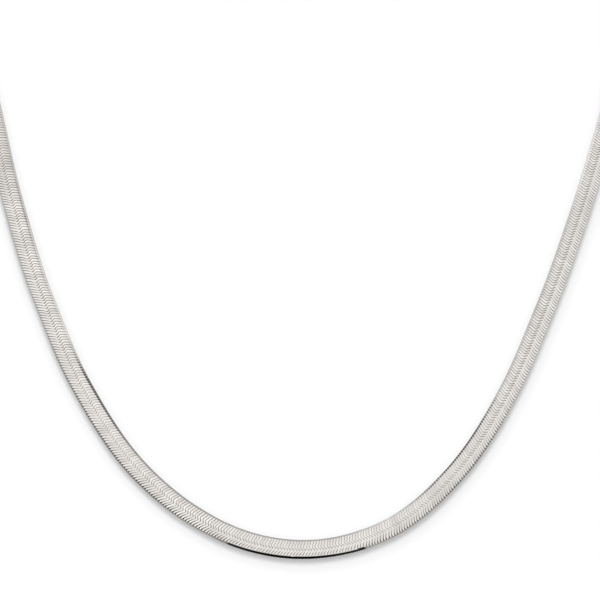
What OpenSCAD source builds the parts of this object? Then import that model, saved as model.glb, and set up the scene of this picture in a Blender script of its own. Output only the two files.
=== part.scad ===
// Flat herringbone neck chain, in its worn form.
// The origin is where the clasp lies on the nape; the wearer faces -Y and +Z is up.

/* [Band] */
// Width of the woven band from edge to edge
band_w = 4; // [3:0.1:5]
// Thickness of the woven band
band_t = 0.6; // [0.45:0.05:0.9]
// Radius that rounds the band's long edges
edge_r = 0.2; // [0.1:0.01:0.22]

/* [Loop] */
// Widest distance across the loop, between centre lines
loop_w = 132; // [124:1:140]
// Distance from the nape forward to the front of the loop
loop_d = 119; // [112:1:126]
// Height of the nape over the lowest point of the front
loop_h = 118; // [111:1:125]
// Angle by which the clasp leans forward against the nape
nape_lean = 17; // [10:1:25]
// Angle by which each end cap turns from the clasp, round the neck
cap_turn = 12; // [6:1:18]

/* [End caps] */
// Clearance between the band and the inside of its cap
cap_gap = 0.12; // [0.08:0.01:0.2]
// Wall of the cap round the band
cap_wall = 0.35; // [0.3:0.05:0.6]
// Depth of the pocket that holds the band's end
pocket_len = 3.2; // [2.4:0.1:5]
// Solid metal between the pocket and the taper
cap_base = 0.7; // [0.5:0.1:1.5]
// Length of the taper from the cap's body to its eye
cap_taper = 1; // [0.8:0.1:2]

/* [Eyes and jump rings] */
// Diameter of the hole in each eye
eye_hole = 1.6; // [1.4:0.1:2]
// Width of the metal round each eye's hole
eye_rim = 0.55; // [0.45:0.05:0.7]
// Thickness of each eye
eye_t = 0.8; // [0.6:0.05:1]
// Inner diameter of each jump ring
ring_in = 3; // [2.8:0.1:3.6]
// Diameter of the jump rings' wire
ring_wire = 0.7; // [0.5:0.05:0.8]

/* [Clasp] */
// Length of the clasp
clasp_len = 12; // [11:0.5:16]
// Width of the claw at its shoulder
clasp_w = 5; // [4.6:0.1:6]
// Thickness of the clasp at its shoulder
clasp_t = 2; // [1.6:0.1:2.6]
// Width of the claw at its nose
nose_w = 3.8; // [3.4:0.1:4.4]
// Thickness of the claw at its nose
nose_t = 1.2; // [1:0.05:1.5]
// Width of the metal round the claw's opening
claw_wall = 1.1; // [0.9:0.05:1.3]
// Radius of the thumb nub on the claw's side
nub_r = 0.6; // [0.4:0.05:0.8]

/* [Hidden] */
$fn = 48;

// Spacing of the sections along the band, and points on each rounded edge
section_step = 3.2;
edge_points = 3;
// Overlap that joins two shapes of one solid
join = 0.2;

// Stations of one half of the loop, from the middle of the front to the back of the neck.
// Columns: place to the side, back and up from the lowest point, then the way the face looks.
route = [
    [0, 0, 0, 0, -0.79, 0.61],
    [10.5, 0.5, 1.5, -0.12, -0.84, 0.53],
    [21, 2.2, 6.5, -0.14, -0.95, 0.27],
    [30.6, 5.2, 14.6, -0.05, -0.99, 0.08],
    [41.5, 10.8, 30.4, 0.15, -0.98, 0],
    [49.1, 17.2, 47.7, 0.2, -0.97, 0.1],
    [55.9, 24.3, 66, 0.24, -0.94, 0.22],
    [61.8, 33.5, 84.5, 0.35, -0.85, 0.38],
    [65.6, 47.5, 100, 0.68, -0.55, 0.48],
    [66, 65, 110.5, 0.9, -0.1, 0.42],
    [61, 82.5, 115.5, 0.84, 0.38, 0.38],
    [50.5, 98, 117.5, 0.66, 0.66, 0.36],
    [36, 109.5, 118, 0.45, 0.82, 0.34]
];
// Width, depth and height of the loop that those stations were chosen for
route_size = [132, 119, 118];
loop_size = [loop_w, loop_d, loop_h];
loop_front = [0, -loop_d, -loop_h];

// Jump rings, eyes and caps, measured along the chain from a jump ring's centre
ring_r = (ring_in + ring_wire) / 2;
eye_r = eye_hole / 2 + eye_rim;
eye_x = ring_r;
body_x = eye_x + eye_hole / 2 + cap_taper;
pocket_x = body_x + cap_base;
mouth_x = pocket_x + pocket_len;
cap_w = band_w + 2 * (cap_gap + cap_wall);
cap_t = band_t + 2 * (cap_gap + cap_wall);

// The clasp, measured from its own middle
ring_seat = 0.3;
clasp_eye_x = -clasp_len / 2 + eye_r;
ring_left_x = clasp_eye_x - ring_r;
nose_x = clasp_len / 2 - nose_w / 2;
shoulder_x = clasp_eye_x + eye_r + clasp_w / 2 - join;
claw_inside_x = clasp_len / 2 - claw_wall;
ring_right_x = claw_inside_x - ring_seat + ring_in / 2;
clasp_shift = -(ring_left_x + ring_right_x) / 2;
ring_x = (ring_right_x - ring_left_x) / 2;

// Directions at the nape and at the end caps
function on_nape(p) =
    [p.x, -p.y * sin(nape_lean) - p.z * cos(nape_lean), p.y * cos(nape_lean) - p.z * sin(nape_lean)];
function along_cap(x) = on_nape([ring_x + x * cos(cap_turn), 0, x * sin(cap_turn)]);
cap_way = on_nape([cos(cap_turn), 0, sin(cap_turn)]);
cap_face = on_nape([sin(cap_turn), 0, -cos(cap_turn)]);

function unit(v) = v / norm(v);
function part_of(v, first) = [v[first], v[first + 1], v[first + 2]];
function place_of(row) = part_of(row, 0);
function face_of(row) = part_of(row, 3);
function mirrored(row) = [-row[0], row[1], row[2], -row[3], row[4], row[5]];
function station(row) = concat(
    [for (k = [0:2]) row[k] * loop_size[k] / route_size[k] + loop_front[k]],
    face_of(row)
);

// The half loop as a smooth curve through its stations, ending at the cap's mouth
stations = concat([for (row = route) station(row)], [concat(along_cap(mouth_x), cap_face)]);
last = len(stations) - 1;
function row_at(i) = i < 0 ? mirrored(stations[-i]) : stations[i];
function span(i) = norm(place_of(row_at(i + 1)) - place_of(row_at(i)));
function rate(i) = (row_at(i + 1) - row_at(i)) / span(i);
function slope(i) = i == last
    ? concat(-cap_way, face_of(rate(last - 1)))
    : (rate(i - 1) * span(i) + rate(i) * span(i - 1)) / (span(i - 1) + span(i));
function curve(i, t) =
    row_at(i) * (2 * t * t * t - 3 * t * t + 1)
    + slope(i) * span(i) * (t * t * t - 2 * t * t + t)
    + row_at(i + 1) * (3 * t * t - 2 * t * t * t)
    + slope(i + 1) * span(i) * (t * t * t - t * t);
function heading(i, t) =
    row_at(i) * (6 * t * t - 6 * t)
    + slope(i) * span(i) * (3 * t * t - 4 * t + 1)
    + row_at(i + 1) * (6 * t - 6 * t * t)
    + slope(i + 1) * span(i) * (3 * t * t - 2 * t);

// Outline of the band's section: across its width, then through its thickness
edge_centre = [band_w / 2 - edge_r, band_t / 2 - edge_r];
section = [
    for (corner = [[1, 1], [-1, 1], [-1, -1], [1, -1]], k = [0:edge_points - 1])
        let (
            step = 90 * k / (edge_points - 1),
            turn = corner.x * corner.y > 0 ? step : 90 - step
        )
        [corner.x * (edge_centre.x + edge_r * cos(turn)), corner.y * (edge_centre.y + edge_r * sin(turn))]
];

// One ring of points round the band at a place, given its heading and the way its face looks
function ring_of(place, way, face) =
    let (
        along = unit(way),
        out = unit(face - along * (along * face)),
        inward = cross(out, along)
    )
    [for (p = section) place + inward * p.x + out * p.y];
function ring_on(i, t) =
    let (row = curve(i, t))
    ring_of(place_of(row), place_of(heading(i, t)), face_of(row));

half_rings = concat(
    [
        for (i = [0:last - 1])
            let (steps = ceil(span(i) / section_step))
            for (k = [0:steps - 1]) ring_on(i, k / steps)
    ],
    [for (x = [mouth_x, pocket_x + cap_gap]) ring_of(along_cap(x), -cap_way, cap_face)]
);
ends = len(half_rings) - 1;
all_rings = concat(
    [for (k = [ends:-1:1]) [for (p = half_rings[k]) [-p.x, p.y, p.z]]],
    half_rings
);

module sweep(rings) {
    size = len(rings[0]);
    count = len(rings);
    sides = [
        for (k = [0:count - 2], j = [0:size - 1])
            let (a = k * size + j, b = k * size + (j + 1) % size)
            each [[a, b, b + size], [a, b + size, a + size]]
    ];
    caps = [
        [for (j = [size - 1:-1:0]) j],
        [for (j = [0:size - 1]) (count - 1) * size + j]
    ];
    polyhedron(points = [for (ring = rings) each ring], faces = concat(sides, caps));
}

// Two upright discs joined by the straight walls that touch them both
module bean(x1, r1, x2, r2, height) {
    lean = acos((r1 - r2) / (x2 - x1));
    translate([x1, 0, 0]) cylinder(r = r1, h = height, center = true);
    translate([x2, 0, 0]) cylinder(r = r2, h = height, center = true);
    linear_extrude(height = height, center = true) polygon([
        [x1 + r1 * cos(lean), r1 * sin(lean)],
        [x2 + r2 * cos(lean), r2 * sin(lean)],
        [x2 + r2 * cos(lean), -r2 * sin(lean)],
        [x1 + r1 * cos(lean), -r1 * sin(lean)]
    ]);
}

// Places a piece on the nape: x along the chain, y up across it, z towards the neck
module at_nape() {
    rotate([90 + nape_lean, 0, 0]) children();
}

module at_cap() {
    at_nape() translate([ring_x, 0, 0]) rotate([0, -cap_turn, 0]) children();
}

// The cap as seen flat on, and as seen from its edge
module cap_plan(height) {
    bean(eye_x, eye_r, body_x, cap_w / 2 - cap_wall, height);
    translate([body_x, -cap_w / 2, -height / 2]) cube([mouth_x - body_x, cap_w, height]);
}

module cap_side(height) {
    bean(eye_x - eye_r + eye_t / 2, eye_t / 2, body_x, cap_t / 2, height);
    translate([body_x, -cap_t / 2, -height / 2]) cube([mouth_x - body_x, cap_t, height]);
}

module end_cap() {
    difference() {
        intersection() {
            cap_plan(cap_t + join);
            rotate([90, 0, 0]) cap_side(cap_w + join);
        }
        translate([eye_x, 0, 0]) cylinder(d = eye_hole, h = cap_t + join, center = true);
        translate([pocket_x, -band_w / 2 - cap_gap, -band_t / 2 - cap_gap])
            cube([pocket_len + join, band_w + 2 * cap_gap, band_t + 2 * cap_gap]);
    }
}

module jump_ring() {
    rotate([90, 0, 0]) rotate_extrude() translate([ring_r, 0]) circle(d = ring_wire);
}

// The clasp as seen flat on, and as seen from its edge
module clasp_plan(height) {
    bean(clasp_eye_x, eye_r, shoulder_x, clasp_w / 2, height);
    bean(shoulder_x, clasp_w / 2, nose_x, nose_w / 2, height);
    translate([shoulder_x, clasp_w / 2, 0]) cylinder(r = nub_r, h = height, center = true);
}

module clasp_side(height) {
    bean(-(clasp_len - eye_t) / 2, eye_t / 2, shoulder_x, clasp_t / 2, height);
    bean(shoulder_x, clasp_t / 2, (clasp_len - nose_t) / 2, nose_t / 2, height);
}

module claw_opening(height) {
    bean(shoulder_x + claw_wall / 2, clasp_w / 2 - claw_wall, nose_x, nose_w / 2 - claw_wall, height);
}

module chain() {
    color("silver") sweep(all_rings);
}

module end_cap_left() {
    color("silver") mirror([1, 0, 0]) at_cap() end_cap();
}

module end_cap_right() {
    color("silver") at_cap() end_cap();
}

module jump_ring_left() {
    color("gainsboro") at_nape() translate([-ring_x, 0, 0]) jump_ring();
}

module jump_ring_right() {
    color("gainsboro") at_nape() translate([ring_x, 0, 0]) jump_ring();
}

module clasp() {
    color("silver") at_nape() translate([clasp_shift, 0, 0]) difference() {
        intersection() {
            clasp_plan(clasp_t + join);
            rotate([90, 0, 0]) clasp_side(clasp_w + 4 * nub_r);
        }
        translate([clasp_eye_x, 0, 0]) cylinder(d = eye_hole, h = clasp_t + join, center = true);
        claw_opening(clasp_t + join);
    }
}

chain();
end_cap_left();
end_cap_right();
jump_ring_left();
jump_ring_right();
clasp();
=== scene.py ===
import math

import bpy
import numpy as np
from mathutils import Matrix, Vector


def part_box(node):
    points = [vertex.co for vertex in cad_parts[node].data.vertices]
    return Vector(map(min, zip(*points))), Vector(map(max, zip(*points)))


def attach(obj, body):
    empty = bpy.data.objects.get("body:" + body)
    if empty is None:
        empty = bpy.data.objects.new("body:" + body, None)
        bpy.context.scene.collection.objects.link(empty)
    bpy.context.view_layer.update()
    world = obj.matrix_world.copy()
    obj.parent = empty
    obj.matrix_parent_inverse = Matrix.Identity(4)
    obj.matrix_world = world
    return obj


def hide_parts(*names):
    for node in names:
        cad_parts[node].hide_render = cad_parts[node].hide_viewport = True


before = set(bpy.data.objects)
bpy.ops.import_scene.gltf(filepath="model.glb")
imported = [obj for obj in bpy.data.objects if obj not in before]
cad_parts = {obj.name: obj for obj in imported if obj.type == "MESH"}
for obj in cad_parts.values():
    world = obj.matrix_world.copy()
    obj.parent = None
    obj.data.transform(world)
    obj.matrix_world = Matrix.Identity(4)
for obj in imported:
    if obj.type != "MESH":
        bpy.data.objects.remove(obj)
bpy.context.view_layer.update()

scene = bpy.context.scene
scene.view_settings.view_transform = "Standard"


# half of the band's centre line, from the lowest point of the front to the nape
routeSetup = {
    "depth": 0.119,             # front to nape
    "height": 0.118,            # lowest point to nape
    "stations": [               # side, back, up from the lowest point, then the way the face looks
        (0, 0, 0, 0, -0.79, 0.61),
        (0.0105, 0.0005, 0.0015, -0.12, -0.84, 0.53),
        (0.021, 0.0022, 0.0065, -0.14, -0.95, 0.27),
        (0.0306, 0.0052, 0.0146, -0.05, -0.99, 0.08),
        (0.0415, 0.0108, 0.0304, 0.15, -0.98, 0),
        (0.0491, 0.0172, 0.0477, 0.2, -0.97, 0.1),
        (0.0559, 0.0243, 0.066, 0.24, -0.94, 0.22),
        (0.0618, 0.0335, 0.0845, 0.35, -0.85, 0.38),
        (0.0656, 0.0475, 0.1, 0.68, -0.55, 0.48),
        (0.066, 0.065, 0.1105, 0.9, -0.1, 0.42),
        (0.061, 0.0825, 0.1155, 0.84, 0.38, 0.38),
        (0.0505, 0.098, 0.1175, 0.66, 0.66, 0.36),
        (0.036, 0.1095, 0.118, 0.45, 0.82, 0.34),
    ],
    "napeLean": math.radians(17),
    "capTurn": math.radians(12),
    "mouth": 0.00755,           # from a jump ring's centre to the mouth of its cap
    "bandEnd": 0.00447,         # and to where the band ends inside the cap
    "samples": 60,              # between two stations
}


def onNape(across, forward):
    # a direction in the plane of the nape, which leans back
    lean = routeSetup["napeLean"]
    return np.array([across, -forward * math.cos(lean), -forward * math.sin(lean)])


def unitRows(rows):
    return rows / np.linalg.norm(rows, axis=1)[:, None]


def makeRoute(setup):
    turn = setup["capTurn"]
    low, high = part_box("jump_ring_right")
    ringCentre = np.array((low + high) / 2)
    capWay = onNape(math.cos(turn), math.sin(turn))
    capFace = onNape(math.sin(turn), -math.cos(turn))
    rows = np.array(setup["stations"], float)
    rows[:, 1] -= setup["depth"]
    rows[:, 2] -= setup["height"]
    mouthRow = np.concatenate([ringCentre + capWay * setup["mouth"], capFace])
    endRow = np.concatenate([ringCentre + capWay * setup["bandEnd"], capFace])
    rows = np.vstack([rows, mouthRow])
    flip = np.array([-1, 1, 1, -1, 1, 1])

    # the same cubic curve as the solid's: slopes from both neighbours, weighted by their distances
    known = np.vstack([rows[1] * flip, rows])
    spans = np.linalg.norm(np.diff(known[:, :3], axis=0), axis=1)[:, None]
    rates = np.diff(known, axis=0) / spans
    slopes = (rates[:-1] * spans[1:] + rates[1:] * spans[:-1]) / (spans[:-1] + spans[1:])
    slopes = np.vstack([slopes, np.concatenate([-capWay, rates[-1, 3:]])])
    t = np.linspace(0, 1, setup["samples"], endpoint=False)[:, None]
    half = []
    for k in range(len(rows) - 1):
        span = spans[k + 1]
        half.append(
            rows[k] * (2 * t**3 - 3 * t**2 + 1)
            + slopes[k] * span * (t**3 - 2 * t**2 + t)
            + rows[k + 1] * (3 * t**2 - 2 * t**3)
            + slopes[k + 1] * span * (t**3 - t**2)
        )
    half = np.vstack(half + [mouthRow, endRow])
    full = np.vstack([half[:0:-1] * flip, half])

    points = full[:, :3]
    steps = np.linalg.norm(np.diff(points, axis=0), axis=1)
    length = np.concatenate([[0], np.cumsum(steps)])
    way = unitRows(np.gradient(points, length, axis=0))
    out = unitRows(full[:, 3:] - way * np.sum(full[:, 3:] * way, axis=1)[:, None])
    inward = np.cross(out, way)
    return {"length": length, "points": points, "out": out, "inward": inward}


def alongRoute(route, s, name):
    table = route[name]
    return np.stack([np.interp(s, route["length"], table[:, k]) for k in range(3)], axis=-1)


route = makeRoute(routeSetup)
bandLength = route["length"][-1]
frontPoint = Vector((0, -routeSetup["depth"], -routeSetup["height"]))
print("route made, band", round(bandLength * 1000, 1), "mm long")


# level camera, a little to one side of the front and slightly rolled
cameraSetup = {
    "distance": 1.2,            # from the lowest point of the front
    "turn": math.radians(-3.8),
    "roll": math.radians(1.41),
    "above": 0.04794,           # of the picture's middle over that point
    "aside": -0.00028,
    "sensor": 36,               # in mm, as Blender takes it
    "viewWidth": 0.1154,        # what the picture spans at the front
    "farLimit": 20,
}


def fromCamera(distance, aside, above):
    # a place given by its distance before the front and its offsets across the camera's view
    turn = cameraSetup["turn"]
    towards = Vector((math.sin(turn), -math.cos(turn), 0))
    right = Vector((math.cos(turn), math.sin(turn), 0))
    return frontPoint + towards * distance + right * aside + Vector((0, 0, above))


def makeCamera(setup):
    data = bpy.data.cameras.new("camera")
    data.sensor_width = setup["sensor"]
    data.lens = setup["sensor"] * setup["distance"] / setup["viewWidth"]
    data.clip_end = setup["farLimit"]
    camera = bpy.data.objects.new("camera", data)
    camera.location = fromCamera(setup["distance"], setup["aside"], setup["above"])
    camera.rotation_euler = (math.pi / 2, -setup["roll"], setup["turn"])
    scene.collection.objects.link(camera)
    scene.camera = camera


makeCamera(cameraSetup)


# small helpers for node trees
def addNode(tree, kind, inputs=None, **settings):
    node = tree.nodes.new(kind)
    for name, value in settings.items():
        setattr(node, name, value)
    for name, value in (inputs or {}).items():
        if isinstance(value, bpy.types.NodeSocket):
            tree.links.new(value, node.inputs[name])
        else:
            node.inputs[name].default_value = value
    return node


def mapped(tree, value, low, high, newLow, newHigh, smooth=True):
    node = addNode(tree, "ShaderNodeMapRange", {"Value": value, "From Min": low, "From Max": high,
                                                "To Min": newLow, "To Max": newHigh})
    node.interpolation_type = "SMOOTHSTEP" if smooth else "LINEAR"
    return node.outputs["Result"]


def mathNode(tree, operation, a, b=0.0):
    node = addNode(tree, "ShaderNodeMath", {0: a, 1: b}, operation=operation)
    return node.outputs[0]


def mixedColour(tree, share, a, b, blend="MIX"):
    node = addNode(tree, "ShaderNodeMix", data_type="RGBA", blend_type=blend)
    for name, value in (("Factor", share), ("A", a), ("B", b)):
        wanted = "VALUE" if name == "Factor" else "RGBA"
        socket = next(x for x in node.inputs if x.name == name and x.type == wanted)
        if isinstance(value, bpy.types.NodeSocket):
            tree.links.new(value, socket)
        else:
            socket.default_value = value
    return next(x for x in node.outputs if x.type == "RGBA")


def newMaterial(name):
    material = bpy.data.materials.new(name)
    material.use_nodes = True
    tree = material.node_tree
    return material, tree, tree.nodes["Principled BSDF"]


def noise(tree, place, scale, detail):
    node = addNode(tree, "ShaderNodeTexNoise", {"Vector": place, "Scale": scale, "Detail": detail})
    return node.outputs["Fac"]


def addFineLines(tree, shader, look, place):
    # noise drawn out into lines, felt only as a very shallow bump
    drawnOut = addNode(tree, "ShaderNodeVectorMath", {0: place, 1: look["lineScale"]}, operation="MULTIPLY")
    lines = noise(tree, drawnOut.outputs[0], 1.0, look["lineDetail"])
    bump = addNode(tree, "ShaderNodeBump", {"Height": lines, "Distance": look["lineDepth"]})
    tree.links.new(bump.outputs["Normal"], shader.inputs["Normal"])
    return lines


def addRoughness(tree, shader, look, pattern):
    rough = mapped(tree, pattern, *look["roughEnds"], *look["roughness"])
    tree.links.new(rough, shader.inputs["Roughness"])


# woven sterling silver: bright crests, painted shade in the grooves along with some tarnish, fine rubbed
# lines
wovenFinish = {
    "silver": (0.93, 0.9, 0.862, 1),
    "cloudy": (0.86, 0.828, 0.785, 1),  # a little duller in patches
    # the grey of the painted shade in the grooves, with some tarnish
    "groove": (0.10, 0.095, 0.088, 1),
    "black": (0.006, 0.006, 0.006, 1),  # a painted black reflection, where the painted light runs out
    "blackEnds": (0.0, 0.12),           # the painted black fades out between these levels of painted light
    "grooveEnds": (0.0, 0.68),          # and the groove's painted shade from this height to this
    "patchScale": 220,
    "patchDetail": 3.0,
    "patchEnds": (0.42, 0.68),
    "lineScale": (900, 5200, 1),        # along the band, across it
    "lineDetail": 4.0,
    "lineDepth": 0.000004,
    "roughEnds": (0.3, 0.7),
    "roughness": (0.10, 0.2),
    "linkTone": 0.10,                   # how much darker the darkest link is
}


def makeWovenSilver(look):
    material, tree, shader = newMaterial("wovenSilver")
    height = addNode(tree, "ShaderNodeAttribute", attribute_name="crest").outputs["Fac"]
    paintedLight = addNode(tree, "ShaderNodeAttribute", attribute_name="paintedLight").outputs["Fac"]
    tone = addNode(tree, "ShaderNodeAttribute", attribute_name="linkTone").outputs["Fac"]
    onBand = addNode(tree, "ShaderNodeAttribute", attribute_name="onBand").outputs["Vector"]
    place = addNode(tree, "ShaderNodeTexCoord").outputs["Object"]

    patches = noise(tree, place, look["patchScale"], look["patchDetail"])
    cloud = mapped(tree, patches, *look["patchEnds"], 0.0, 1.0)
    metal = mixedColour(tree, cloud, look["silver"], look["cloudy"])
    dim = mapped(tree, tone, 0.0, 1.0, 1 - look["linkTone"], 1.0, smooth=False)
    toned = mixedColour(tree, 1.0, metal, dim, "MULTIPLY")
    # painted shade: where the crest height and the painted light are low, the metal turns to the painted
    # groove grey and the painted black reflection
    shine = mathNode(tree, "MULTIPLY", mapped(tree, height, *look["grooveEnds"], 0.0, 1.0), paintedLight)
    notBlack = mapped(tree, paintedLight, *look["blackEnds"], 0.0, 1.0)
    grey = mixedColour(tree, notBlack, look["black"], look["groove"])
    tree.links.new(mixedColour(tree, shine, grey, toned), shader.inputs["Base Color"])

    rubs = addFineLines(tree, shader, look, onBand)
    addRoughness(tree, shader, look, rubs)
    shader.inputs["Metallic"].default_value = 1.0
    return material


# polished silver of the caps, rings and clasp
polishedFinish = {
    "silver": (0.94, 0.93, 0.905, 1),
    "cloudy": (0.83, 0.82, 0.79, 1),
    "patchScale": 420,
    "patchDetail": 3.0,
    "patchEnds": (0.4, 0.7),
    "lineScale": (2500, 2500, 26000),
    "lineDetail": 5.0,
    "lineDepth": 0.000003,
    "roughEnds": (0.3, 0.7),
    "roughness": (0.07, 0.17),
}


def makePolishedSilver(look):
    material, tree, shader = newMaterial("polishedSilver")
    place = addNode(tree, "ShaderNodeTexCoord").outputs["Object"]
    patches = noise(tree, place, look["patchScale"], look["patchDetail"])
    cloud = mapped(tree, patches, *look["patchEnds"], 0.0, 1.0)
    tree.links.new(mixedColour(tree, cloud, look["silver"], look["cloudy"]), shader.inputs["Base Color"])
    addFineLines(tree, shader, look, place)
    addRoughness(tree, shader, look, patches)
    shader.inputs["Metallic"].default_value = 1.0
    return material


wovenSilver = makeWovenSilver(wovenFinish)
polishedSilver = makePolishedSilver(polishedFinish)
print("silver finishes made")


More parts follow.
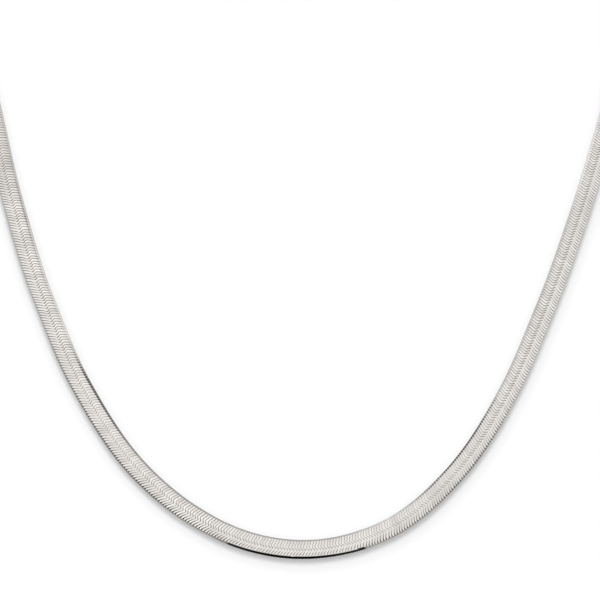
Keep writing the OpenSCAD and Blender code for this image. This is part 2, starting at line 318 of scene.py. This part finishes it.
# the woven band: every link is a flat strip that runs across the face in one wave, round both
# edges and back, and meets its neighbours in a groove
bandSetup = {
    "width": 0.004,
    "thickness": {"front": 0.00078, "side": 0.0006},
    # how far the edges are rounded, across the band and through it: crisp at the front and
    # softer up the sides
    "edges": {
        "front": {"inner": (0.00018, 0.00014), "outer": (0.00007, 0.00006)},
        "side": {"inner": (0.00032, 0.0002), "outer": (0.0005, 0.0002)},
    },
    "sidesBegin": (0.0132, 0.0165),     # between these distances from the middle of the front
    "cornerSteps": 5,
    "steepEnds": (0.3, 0.65),           # between these sines of its slope, the face turns into wall
    "linkPitch": 0.000573,
    "pieces": 6,
    # how far a link's line runs ahead, from the inner edge to the outer, both as shares of the width
    "wave": [
        (0, 0.075), (0.08, 0.072), (0.12, 0.066), (0.16, 0.054), (0.2, 0.038), (0.24, 0.021),
        (0.28, 0.002), (0.32, -0.015), (0.36, -0.028), (0.4, -0.036), (0.435, -0.036), (0.47, -0.022),
        (0.5, 0.004), (0.53, 0.034), (0.56, 0.055), (0.59, 0.064), (0.62, 0.06), (0.65, 0.041),
        (0.68, 0.015), (0.72, -0.01), (0.76, -0.034), (0.8, -0.058), (0.84, -0.083), (0.88, -0.104),
        (0.92, -0.119), (0.96, -0.129), (1, -0.135),
    ],
    "across": [
        0.10, 0.12, 0.15, 0.175, 0.2, 0.25, 0.3, 0.35, 0.4, 0.435, 0.47, 0.5, 0.53, 0.56, 0.59, 0.62,
        0.65, 0.68, 0.74, 0.8,
    ],
    "acrossOuter": {"front": [0.86, 0.92, 0.955], "side": [0.83, 0.85, 0.868]},
    # a link's own section from groove to groove: share of the pitch and height
    "crestShape": [
        (0, -1), (0.08, -0.62), (0.2, -0.3), (0.4, -0.05), (0.6, -0.02), (0.78, -0.24), (0.92, -0.66),
    ],
    "grooveDepth": 0.00009,
    # how strongly the grooves are cut across the face, which also sets their painted shade, the painted
    # light and shade across the face, and where the rows meet
    "cut": {
        "front": [
            (0, 0.3), (0.08, 0.6), (0.14, 0.9), (0.3, 0.8), (0.44, 0.75), (0.53, 1), (0.6, 0.8),
            (0.66, 0.5), (0.71, 0.7), (0.78, 1.1), (0.86, 1.1), (0.94, 0.7), (1, 0.4),
        ],
        "side": [
            (0, 0.4), (0.08, 0.7), (0.14, 1), (0.3, 0.9), (0.44, 0.95), (0.53, 1.15), (0.6, 1),
            (0.66, 0.6), (0.71, 0.85), (0.8, 1.05), (0.9, 1.35), (0.97, 0.9), (1, 0.4),
        ],
    },
    "paintedLight": {
        "front": [(0.5, 1)],
        "side": [
            (0.14, 0.98), (0.28, 0.98), (0.38, 1.01), (0.47, 1.01), (0.55, 0.98), (0.64, 0.965),
            (0.72, 0.935), (0.8, 0.98), (0.86, 1.01), (0.92, 1),
        ],
    },
    "rowsMeet": [(0.46, 0), (0.54, 1), (0.62, 0)],
    "outerRow": (0.6, 0.7),             # the outer row of links begins between these shares
    "wallCut": 0.15,
    # the rest goes by the place along the band, from the middle of the front:
    # how far the outer ends are carried up, either side of the middle
    "lean": [(0.02, 0), (0.045, 0.03), (0.06, 0.09), (0.08, 0.11)],
    # how far out the rows meet, from their usual place, and how much painted shade lies there (painted
    # light where negative)
    "kink": [
        (-0.1, -0.02), (-0.08, -0.045), (-0.06, -0.045), (-0.035, -0.035), (-0.022, -0.01),
        (-0.012, 0.02), (-0.005, 0.05), (0.005, 0.025), (0.012, -0.02), (0.017, -0.045),
        (0.024, -0.04), (0.045, -0.04), (0.06, -0.045), (0.075, -0.03),
    ],
    "meetPaintedShade": [(-0.06, 0.12), (0.012, 0.12), (0.024, 0), (0.036, -0.1), (0.05, -0.1), (0.06, 0.05)],
    # how much the band has settled sideways on its way round, towards the neck
    "settled": [
        (-0.18, 0), (-0.16, 0.0005), (-0.145, 0.0014), (-0.132, 0.0019), (-0.118, 0.0018),
        (-0.111, 0.00145), (-0.1035, 0.00085), (-0.098, 0.0005), (-0.092, 0.00024),
        (-0.086, -0.00006), (-0.078, -0.00034), (-0.068, -0.00024), (-0.056, -0.00012), (-0.045, 0),
        (-0.034, 0.00004), (-0.027, 0.00018), (-0.016, 0.00032), (-0.01, 0.00026), (-0.003, 0.0001),
        (0, 0), (0.004, -0.00012), (0.012, -0.00024), (0.017, -0.00045), (0.02, -0.00054),
        (0.024, -0.0004), (0.03, -0.0002), (0.037, 0), (0.048, 0.00016), (0.058, 0.00027),
        (0.066, 0.0002), (0.074, 0.00004), (0.08, -0.00004), (0.09, -0.00002), (0.1, -0.00008),
        (0.112, -0.00012), (0.1185, -0.0003), (0.13, -0.0005), (0.15, -0.0003), (0.17, 0),
    ],
    "settleEase": 0.002,                # either way, over which its changes are evened out
    "settleSteps": 9,
    # how much narrower it is on the outer side
    "trim": [
        (-0.06, 0), (-0.053, 0.00006), (-0.04, 0.00008), (-0.03, 0.00004), (-0.016, -0.00001),
        (-0.012, 0.00001), (-0.008, -0.00004), (-0.002, -0.00007), (0.002, -0.00001),
        (0.006, 0.00005), (0.0134, 0.00008), (0.02, 0.0001), (0.03, 0.00014), (0.036, 0.0002),
        (0.042, 0.0002), (0.05, 0.0001),
    ],
    # how deeply the links are cut, which also sets their painted groove shade, and the outer row of them
    # besides
    "cutAlong": [
        (-0.09, 1), (-0.066, 0.93), (-0.054, 0.73), (-0.04, 0.7), (-0.027, 0.9), (-0.019, 1.08),
        (-0.012, 1.14), (0, 1.1), (0.012, 1), (0.019, 0.7), (0.04, 0.76), (0.052, 0.9), (0.066, 0.96),
        (0.09, 1),
    ],
    "cutOuter": [
        (-0.09, 0.88), (-0.05, 0.95), (-0.03, 1.08), (-0.014, 1.15), (-0.006, 1), (0.012, 1.05),
        (0.018, 1.4), (0.028, 1.25), (0.045, 1.05), (0.06, 0.95), (0.09, 0.95),
    ],
    # painted light and shade along the face: its lighter and darker stretches
    "paintedLightAlong": [
        (-0.102, 0.83), (-0.094, 0.93), (-0.09, 0.97), (-0.08, 0.95), (-0.066, 0.92), (-0.06, 0.86),
        (-0.053, 0.9), (-0.046, 0.85), (-0.04, 0.81), (-0.034, 0.88), (-0.027, 0.93), (-0.022, 0.98),
        (-0.017, 1.01), (-0.012, 0.985), (-0.004, 1), (0.004, 1), (0.01, 0.96), (0.015, 0.94),
        (0.02, 0.83), (0.024, 0.79), (0.034, 0.8), (0.04, 0.81), (0.046, 0.87), (0.052, 0.97),
        (0.06, 0.96), (0.076, 0.98), (0.09, 0.93),
    ],
    # the painted shade on the edge wall, where it is a painted black reflection, and how much of the face
    # beside it is painted black too
    "paintedLightOnWall": [
        (-0.025, 0.75), (-0.0195, 0.45), (-0.0125, 0.45), (-0.0121, 0.01), (0.0134, 0.01),
        (0.0138, 0.7),
    ],
    "wallEnds": (-0.0123, 0.0136),
    "wallOnFace": [(-0.0127, 0.03), (-0.006, 0.03), (0, 0.01), (0.005, 0.03), (0.0126, 0.046)],
    # painted reflections at the rims: a dark line along the inner rim, dark dots along the outer one
    "innerRim": [
        (-0.106, 0.28), (-0.102, 0.36), (-0.097, 0.5), (-0.092, 0.55), (-0.086, 0.3), (-0.066, 0.13),
        (-0.061, 0.4), (-0.056, 0.95), (-0.048, 0.93), (-0.04, 0.76), (-0.03, 0.64), (0, 0.64),
        (0.008, 0.6), (0.014, 0.38), (0.019, 0.1), (0.027, 0.36), (0.034, 0.58), (0.038, 0.7),
        (0.045, 0.68), (0.05, 0.4), (0.066, 0.32), (0.08, 0.32), (0.092, 0.3), (0.1, 0.06),
        (0.107, -0.25),
    ],
    # how far in from the edge that painted line lies, and where it is broken up into painted dots too
    "innerDepth": [
        (-0.105, 0.025), (-0.092, 0.05), (-0.08, 0.05), (-0.066, 0.04), (-0.06, 0.025),
        (-0.054, 0.009), (-0.046, 0.006), (-0.04, 0), (-0.02, 0.004), (0, 0.006), (0.012, 0.002),
        (0.03, -0.005), (0.038, -0.03), (0.046, -0.02), (0.053, -0.005), (0.08, 0.002),
    ],
    "innerDots": [
        (-0.064, 0), (-0.056, 3), (-0.05, 2.5), (-0.04, 0), (0.022, 0), (0.03, 3), (0.036, 9),
        (0.046, 8), (0.054, 0.3), (0.06, 0),
    ],
    "outerRim": [
        (-0.1, 0.05), (-0.08, 0.1), (-0.066, 0.2), (-0.053, 0.7), (-0.044, 1.1), (-0.036, 1.1),
        (-0.027, 0.85), (-0.019, 0.45), (-0.0126, 0.42), (-0.0121, 0), (-0.006, 0), (0.003, 0),
        (0.006, 0), (0.0133, 0), (0.0138, 0.45), (0.019, 0.6), (0.028, 0.6), (0.034, 0.85),
        (0.042, 1), (0.048, 0.6), (0.054, 0.15), (0.066, 0),
    ],
    "rimSpread": {
        "inner": [(0, 0.5), (0.02, 0.9), (0.05, 1), (0.08, 1), (0.1, 0.6), (0.115, 0)],
        "outer": [(0, 1.3), (0.03, 1.2), (0.06, 1), (0.09, 0.7), (0.12, 0)],
    },
    "dotDepth": 3.2,                    # how much wider the painted dots are than the grooves
    "dotShade": 0.28,                   # and how much of their painted grey lies over the whole rim
    "depthSpread": 0.12,                # by which the links' grooves differ
    "swaySpread": 0.05,                 # and their places, as a share of the pitch
    "swayLimit": 0.00005,
    "endEase": 0.002,
    "seed": 41,
}


def tabled(value, rows):
    return np.interp(value, *np.array(rows).T)


def blended(setup, share, up):
    return tabled(share, setup["front"]) * (1 - up) + tabled(share, setup["side"]) * up


def risen(value, ends):
    low, high = ends
    return np.clip((value - low) / (high - low), 0, 1)


def bandSection(band, part):
    # rows of: side towards the neck, lift off the middle, the surface's own direction in both, how steep
    half, thin, steps = band["width"] / 2, band["thickness"][part] / 2, band["cornerSteps"]
    edges = band["edges"][part]

    def row(side, lift, tilt, sign):
        steep = risen(math.sin(tilt), band["steepEnds"])
        return (side, lift, sign * math.sin(tilt), math.cos(tilt), steep)

    def corner(radii, sign):
        wide, deep = radii
        rows = []
        for k in range(steps):
            tilt = math.pi / 2 * (1 - k / steps)        # from the wall up to the face
            reach = math.hypot(wide * math.sin(tilt), deep * math.cos(tilt))
            side = sign * (half - wide + wide**2 * math.sin(tilt) / reach)
            rows.append(row(side, thin - deep + deep**2 * math.cos(tilt) / reach, tilt, sign))
        return rows

    shares = band["across"] + band["acrossOuter"][part]
    front = [row(half - share * band["width"], thin, 0, 1) for share in shares]
    faceHalf = corner(edges["inner"], 1) + front + corner(edges["outer"], -1)[::-1]
    backHalf = [(side, -lift, x, -y, steep) for side, lift, x, y, steep in reversed(faceHalf)]
    return np.array(faceHalf + backHalf)


def cutLinks(band):
    # the places of the grooves along the band, then every link's depth and tone
    links = round(bandLength / band["linkPitch"])
    rng = np.random.default_rng(band["seed"])
    grooves = np.linspace(0, bandLength, links + 1)
    limit = band["swayLimit"]
    grooves[1:-1] += rng.normal(0, band["swaySpread"] * band["linkPitch"], links - 1).clip(-limit, limit)
    depth = 1 + band["depthSpread"] * rng.uniform(-1, 1, links)
    tone = rng.uniform(0, 1, links)
    return grooves, depth, tone


def paintedLightAndDots(band, ahead, share, pattern, up, steep):
    # the painted light and shade everywhere, and how strongly its grooves end in painted dots
    paintedLight = blended(band["paintedLight"], pattern, up) * tabled(ahead, band["paintedLightAlong"])
    paintedLight = paintedLight * (1 - tabled(ahead, band["meetPaintedShade"]) * tabled(pattern, band["rowsMeet"]))
    # a painted black reflection along the front's edge wall and on the face beside it
    first, last = band["wallEnds"]
    nearWall = (1 - share < tabled(ahead, band["wallOnFace"])) & (ahead > first) & (ahead < last)
    onWall = np.maximum(steep, nearWall)
    paintedLight = paintedLight * (1 - onWall) + tabled(ahead, band["paintedLightOnWall"]) * onWall

    # painted reflections: a dark line along the inner rim and dark dots along the outer one
    fromRim = np.maximum(share - tabled(ahead, band["innerDepth"]), 0)
    innerDark = tabled(ahead, band["innerRim"]) * tabled(fromRim, band["rimSpread"]["inner"])
    outerDark = tabled(ahead, band["outerRim"]) * tabled(1 - share, band["rimSpread"]["outer"])
    paintedLight = paintedLight * np.maximum(1 - innerDark, 0) * (1 - band["dotShade"] * outerDark)
    return paintedLight, outerDark + innerDark * tabled(ahead, band["innerDots"])


def weaveRings(band, route):
    grooves, linkDepth, linkTone = cutLinks(band)
    links = len(linkDepth)
    u, crest = np.array(band["crestShape"]).T
    columns = len(u)
    s = (grooves[:-1, None] + u * np.diff(grooves)[:, None]).ravel()
    s = np.append(s, bandLength)[:, None]
    ahead = s - bandLength / 2
    away = np.abs(ahead)

    # the section goes from the crisp one at the front to the softer one up the sides
    up = risen(away, band["sidesBegin"])
    up = up * up * (3 - 2 * up)
    section = bandSection(band, "front") * (1 - up[..., None]) + bandSection(band, "side") * up[..., None]
    side, lift, faceSide, faceLift, steep = (section[..., k] for k in range(5))
    share = 0.5 - side / band["width"]
    outerPart = np.clip(share * 2 - 1, 0, 1)            # 0 at the middle, 1 at the outer edge
    nearby = np.linspace(-1, 1, band["settleSteps"]) * band["settleEase"]
    settled = np.mean([tabled(ahead + step, band["settled"]) for step in nearby], axis=0)
    side = side + settled + tabled(ahead, band["trim"]) * outerPart

    # the pattern is drawn in or out, most of all halfway across
    pattern = share - tabled(ahead, band["kink"]) * 4 * share * (1 - share)
    outerRow = risen(pattern, band["outerRow"])
    cut = blended(band["cut"], pattern, up) * (1 + (tabled(ahead, band["cutOuter"]) - 1) * outerRow)
    cut = cut * (1 - steep) + band["wallCut"] * steep
    height = np.append(np.tile(crest, links), crest[0])[:, None] * cut * tabled(ahead, band["cutAlong"])
    sink = height * band["grooveDepth"] * np.append(np.repeat(linkDepth, columns), 1)[:, None]
    paintedLight, dots = paintedLightAndDots(band, ahead, share, pattern, up, steep)

    # the wave eases out at both ends, so that the band ends square inside its caps
    lean = np.sign(ahead) * tabled(away, band["lean"])
    shift = (tabled(pattern, band["wave"]) + lean * (share - 0.5)) * band["width"]
    place = s + shift * np.clip(np.minimum(s, bandLength - s) / band["endEase"], 0, 1)
    middle, inward, out = (alongRoute(route, place, name) for name in ("points", "inward", "out"))
    points = middle + inward * (side + faceSide * sink)[..., None]
    points = points + out * (lift + faceLift * sink)[..., None]
    tone = np.append(np.repeat(linkTone, columns), 0)[:, None]
    return {
        "points": points,
        # the crest carries the painted dots at the rims too
        "crest": 1 + height * (1 + band["dotDepth"] * dots),
        "paintedLight": paintedLight,
        "linkTone": np.broadcast_to(tone, place.shape),
        "onBand": np.stack([place, share * band["width"], lift], axis=-1),
        "links": links,
        "columns": columns,
    }


def ringMesh(name, rings, first, last, columns):
    points = rings["points"][first:last + 1]
    count, around = points.shape[:2]
    corner = np.arange(count * around).reshape(count, around)
    turned = np.roll(corner, -1, axis=1)
    quads = np.stack([corner[:-1], turned[:-1], turned[1:], corner[1:]], axis=-1).reshape(-1, 4)
    ends = [corner[0, ::-1].tolist(), corner[-1].tolist()]
    mesh = bpy.data.meshes.new(name)
    mesh.from_pydata(points.reshape(-1, 3).tolist(), [], quads.tolist() + ends)
    for label in ("crest", "paintedLight", "linkTone", "onBand"):
        kind, field = ("FLOAT_VECTOR", "vector") if label == "onBand" else ("FLOAT", "value")
        layer = mesh.attributes.new(label, kind, "POINT")
        values = rings[label][first:last + 1].astype(np.float32)
        layer.data.foreach_set(field, values.ravel())

    # the edges along the bottom of every groove stay sharp
    pairs = np.empty(len(mesh.edges) * 2, int)
    mesh.edges.foreach_get("vertices", pairs)
    ringOf = pairs.reshape(-1, 2) // around
    sharp = (ringOf[:, 0] == ringOf[:, 1]) & (ringOf[:, 0] % columns == 0)
    mesh.edges.foreach_set("use_edge_sharp", sharp)
    mesh.polygons.foreach_set("use_smooth", np.ones(len(mesh.polygons), bool))
    mesh.update()
    return mesh


def makeWeave(band, route, material):
    rings = weaveRings(band, route)
    columns, links = rings["columns"], rings["links"]
    limits = np.linspace(0, links, band["pieces"] + 1).round().astype(int) * columns
    triangles = 0
    for k in range(band["pieces"]):
        name = f"woven_band_{k + 1}"
        mesh = ringMesh(name, rings, limits[k], limits[k + 1], columns)
        mesh.materials.append(material)
        piece = bpy.data.objects.new(name, mesh)
        scene.collection.objects.link(piece)
        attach(piece, "root")
        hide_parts("chain")
        triangles += sum(len(p.vertices) - 2 for p in mesh.polygons)
    print("band woven from", links, "links,", band["pieces"], "pieces,", triangles, "triangles")


makeWeave(bandSetup, route, wovenSilver)


# end caps, jump rings and clasp keep their solids' shapes
for name in ("end_cap_left", "end_cap_right", "jump_ring_left", "jump_ring_right", "clasp"):
    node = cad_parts[name]
    node.data.materials.clear()
    node.data.materials.append(polishedSilver)
print("caps, rings and clasp polished")


# pale seamless ground: a sheet that lies as a floor and curves up into a wall, open from behind
groundSetup = {
    "floor": -0.45,
    "wall": 0.02,                       # this far behind the nape
    "top": 0.6,
    "front": -1.2,
    "halfWidth": 0.42,
    "bend": 0.28,
    "bendSteps": 24,
    "wallColour": (0.518, 0.518, 0.518, 1),
    "floorColour": (0.93, 0.93, 0.93, 1),   # the lamps hardly reach the floor
    "change": (-0.42, -0.2),            # heights between which one goes over into the other
}


def makeGround(setup):
    bend, steps = setup["bend"], setup["bendSteps"]
    profile = [(setup["front"], setup["floor"])]
    for k in range(steps + 1):
        angle = math.pi / 2 * k / steps
        y = setup["wall"] - bend + bend * math.sin(angle)
        profile.append((y, setup["floor"] + bend - bend * math.cos(angle)))
    profile.append((setup["wall"], setup["top"]))
    wide = setup["halfWidth"]
    points = [(x, y, z) for y, z in profile for x in (-wide, wide)]
    faces = [(2 * k, 2 * k + 1, 2 * k + 3, 2 * k + 2) for k in range(len(profile) - 1)]
    mesh = bpy.data.meshes.new("ground")
    mesh.from_pydata(points, [], faces)
    mesh.polygons.foreach_set("use_smooth", np.ones(len(faces), bool))
    material = bpy.data.materials.new("paleGround")
    material.use_nodes = True
    tree = material.node_tree
    tree.nodes.clear()
    place = addNode(tree, "ShaderNodeTexCoord").outputs["Object"]
    height = addNode(tree, "ShaderNodeSeparateXYZ", {"Vector": place}).outputs["Z"]
    onWall = mapped(tree, height, *setup["change"], 0.0, 1.0)
    colour = mixedColour(tree, onWall, setup["floorColour"], setup["wallColour"])
    paint = addNode(tree, "ShaderNodeBsdfDiffuse", {"Color": colour})
    clear = addNode(tree, "ShaderNodeBsdfTransparent")
    behind = addNode(tree, "ShaderNodeNewGeometry").outputs["Backfacing"]
    mix = addNode(tree, "ShaderNodeMixShader", {0: behind, 1: paint.outputs[0], 2: clear.outputs[0]})
    addNode(tree, "ShaderNodeOutputMaterial", {"Surface": mix.outputs[0]})
    mesh.materials.append(material)
    ground = bpy.data.objects.new("ground", mesh)
    ground.visible_glossy = False       # the silver mirrors the studio and not the sheet
    ground.visible_shadow = False       # and the sheet neither shades nor lights itself
    ground.visible_diffuse = False
    scene.collection.objects.link(ground)
    return ground


ground = makeGround(groundSetup)


# studio: lamps by the camera that only throw the band's shadow on the sheet, and a room that is
# bright above the front, grey to the sides, behind and below, with a black card along the floor
lampSetup = {
    "shadowLamp": {"distance": 1.122, "aside": -0.0009, "above": 0.0525, "size": 0.01, "power": 9.9},
    "softShadowLamp": {"distance": 1.11, "aside": -0.0023, "above": 0.0536, "size": 0.054, "power": 8.8},
}

roomSetup = {
    "strength": 1.12,
    "seen": 1.0,                        # brightness of the empty background
    "above": (0.55, 1.0, 0.79),         # from this height to this, and what is left of the light
    "below": (-0.15, 0.1, 0.6),
    "behind": (0.25, 0.9, 0.8),
    "left": (0.6, 0.8, 0.65),
    "right": (0.1, 0.4, 0.88),
    "card": {                           # it fades out between the two numbers of each pair
        "middle": 0.05,
        "halfWidth": (0.37, 0.47),
        "top": (-0.3, -0.18),
        "front": (-0.35, -0.55),
        "back": (0.3, 0.55),
        "left": 0.02,
    },
}


def makeLamps(setups, target):
    lit = bpy.data.collections.new("sheet")
    lit.objects.link(target)
    for name, setup in setups.items():
        data = bpy.data.lights.new(name, "AREA")
        data.shape = "DISK"
        data.size = setup["size"]
        data.energy = setup["power"]
        lamp = bpy.data.objects.new(name, data)
        lamp.location = fromCamera(setup["distance"], setup["aside"], setup["above"])
        lamp.rotation_euler = (math.pi / 2, 0, cameraSetup["turn"])
        lamp.visible_camera = False
        lamp.visible_glossy = False
        scene.collection.objects.link(lamp)
        lamp.light_linking.receiver_collection = lit


def makeRoom(setup):
    world = bpy.data.worlds.new("studio")
    scene.world = world
    world.use_nodes = True
    tree = world.node_tree
    tree.nodes.clear()
    towards = addNode(tree, "ShaderNodeTexCoord").outputs["Generated"]
    parts = addNode(tree, "ShaderNodeSeparateXYZ", {"Vector": towards}).outputs
    toLeft = mathNode(tree, "MULTIPLY", parts["X"], -1.0)
    low, high, left = setup["below"]
    light = mapped(tree, parts["Z"], low, high, left, 1.0)
    directions = (("above", parts["Z"]), ("behind", parts["Y"]), ("right", parts["X"]), ("left", toLeft))
    for key, part in directions:
        low, high, left = setup[key]
        light = mathNode(tree, "MULTIPLY", light, mapped(tree, part, low, high, 1.0, left))

    card = setup["card"]
    fromMiddle = mathNode(tree, "ABSOLUTE", mathNode(tree, "SUBTRACT", parts["X"], card["middle"]))
    black = mapped(tree, fromMiddle, *card["halfWidth"], 1.0, 0.0)
    for key, part in (("top", parts["Z"]), ("front", parts["Y"]), ("back", parts["Y"])):
        black = mathNode(tree, "MULTIPLY", black, mapped(tree, part, *card[key], 1.0, 0.0))
    offCard = mapped(tree, black, 0.0, 1.0, 1.0, card["left"], smooth=False)
    light = mathNode(tree, "MULTIPLY", mathNode(tree, "MULTIPLY", light, offCard), setup["strength"])

    seen = addNode(tree, "ShaderNodeLightPath").outputs["Is Camera Ray"]
    sockets = {"Factor": seen, "A": light, "B": setup["seen"]}
    brightness = addNode(tree, "ShaderNodeMix", sockets, data_type="FLOAT").outputs[0]
    background = addNode(tree, "ShaderNodeBackground", {"Color": (1, 1, 1, 1), "Strength": brightness})
    addNode(tree, "ShaderNodeOutputWorld", {"Surface": background.outputs[0]})


makeLamps(lampSetup, ground)
makeRoom(roomSetup)
print("ground, lamps and room made")
